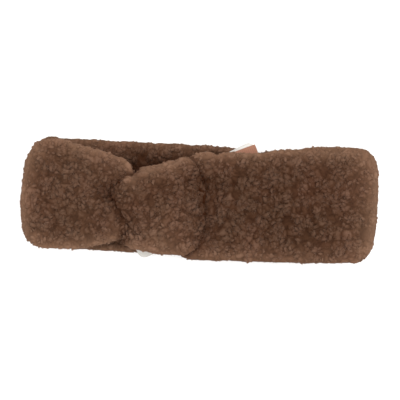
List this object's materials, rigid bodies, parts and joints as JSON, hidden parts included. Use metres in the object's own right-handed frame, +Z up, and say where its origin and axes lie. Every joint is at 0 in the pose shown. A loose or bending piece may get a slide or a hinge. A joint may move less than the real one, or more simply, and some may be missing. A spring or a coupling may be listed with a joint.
{
  "type": "wool headband",
  "caption": "Wide soft teddy-wool headband, a padded loop lying flat and gathered at the front by an off-centre wrapped knot, with sewn-in fabric labels showing at its edges.",
  "frame": {"origin": "middle of the bounding box on the table: the back of the headband lies on z = 0", "axes": "+X along the flat headband, from the knotted side to the plain side; +Y across its width, towards its upper edge; +Z up, out of the knotted front"},
  "size_m": [0.25, 0.0842, 0.0449],
  "materials": {
    "wool_pile": "curly short wool pile, matte with a soft sheen",
    "label_satin": "woven satin ribbon",
    "label_tape": "woven cotton tape"
  },
  "bodies": {
    "root": {"band": "wool_pile", "knot": "wool_pile", "care_label": "label_satin", "back_label": "label_tape"}
  },
  "joints": []
}
